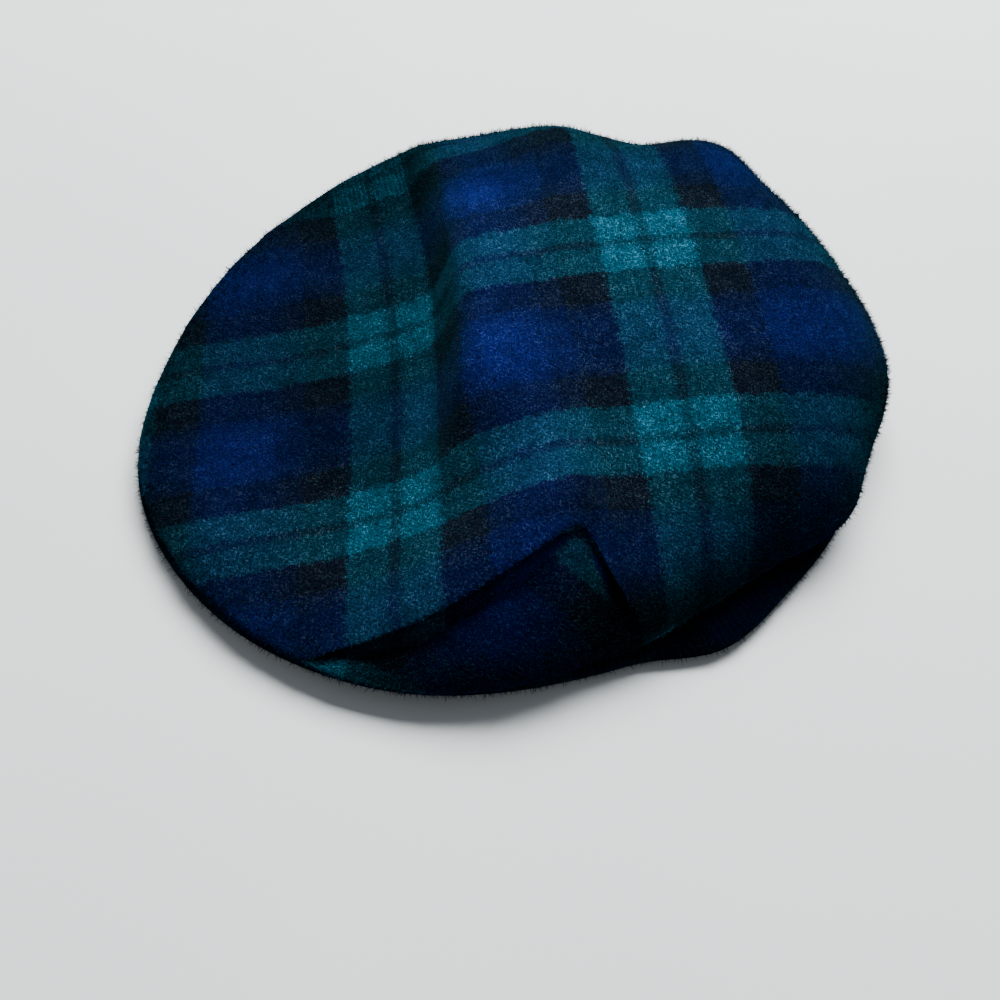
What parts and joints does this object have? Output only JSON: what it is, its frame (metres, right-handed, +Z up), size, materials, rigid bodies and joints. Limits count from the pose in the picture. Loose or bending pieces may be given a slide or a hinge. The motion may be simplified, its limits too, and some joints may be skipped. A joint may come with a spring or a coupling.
{
  "type": "tam o' shanter bonnet",
  "caption": "Flat round woollen bonnet in dark tartan, lying open side down: soft crown with a front fold, underside ring and plain headband.",
  "frame": {"origin": "on the surface the hat lies on, under the middle of the whole hat", "axes": "+Z up out of the surface, +Y towards the back of the hat as it lies, +X to the right, so the front fold faces -Y"},
  "size_m": [0.2862, 0.2698, 0.0489],
  "materials": {
    "crown": "brushed woollen tartan, matt",
    "underside": "brushed woollen tartan, matt",
    "headband": "plain dark woollen cloth, matt"
  },
  "bodies": {
    "root": {"crown": "crown", "underside": "underside", "headband": "headband"}
  },
  "joints": []
}
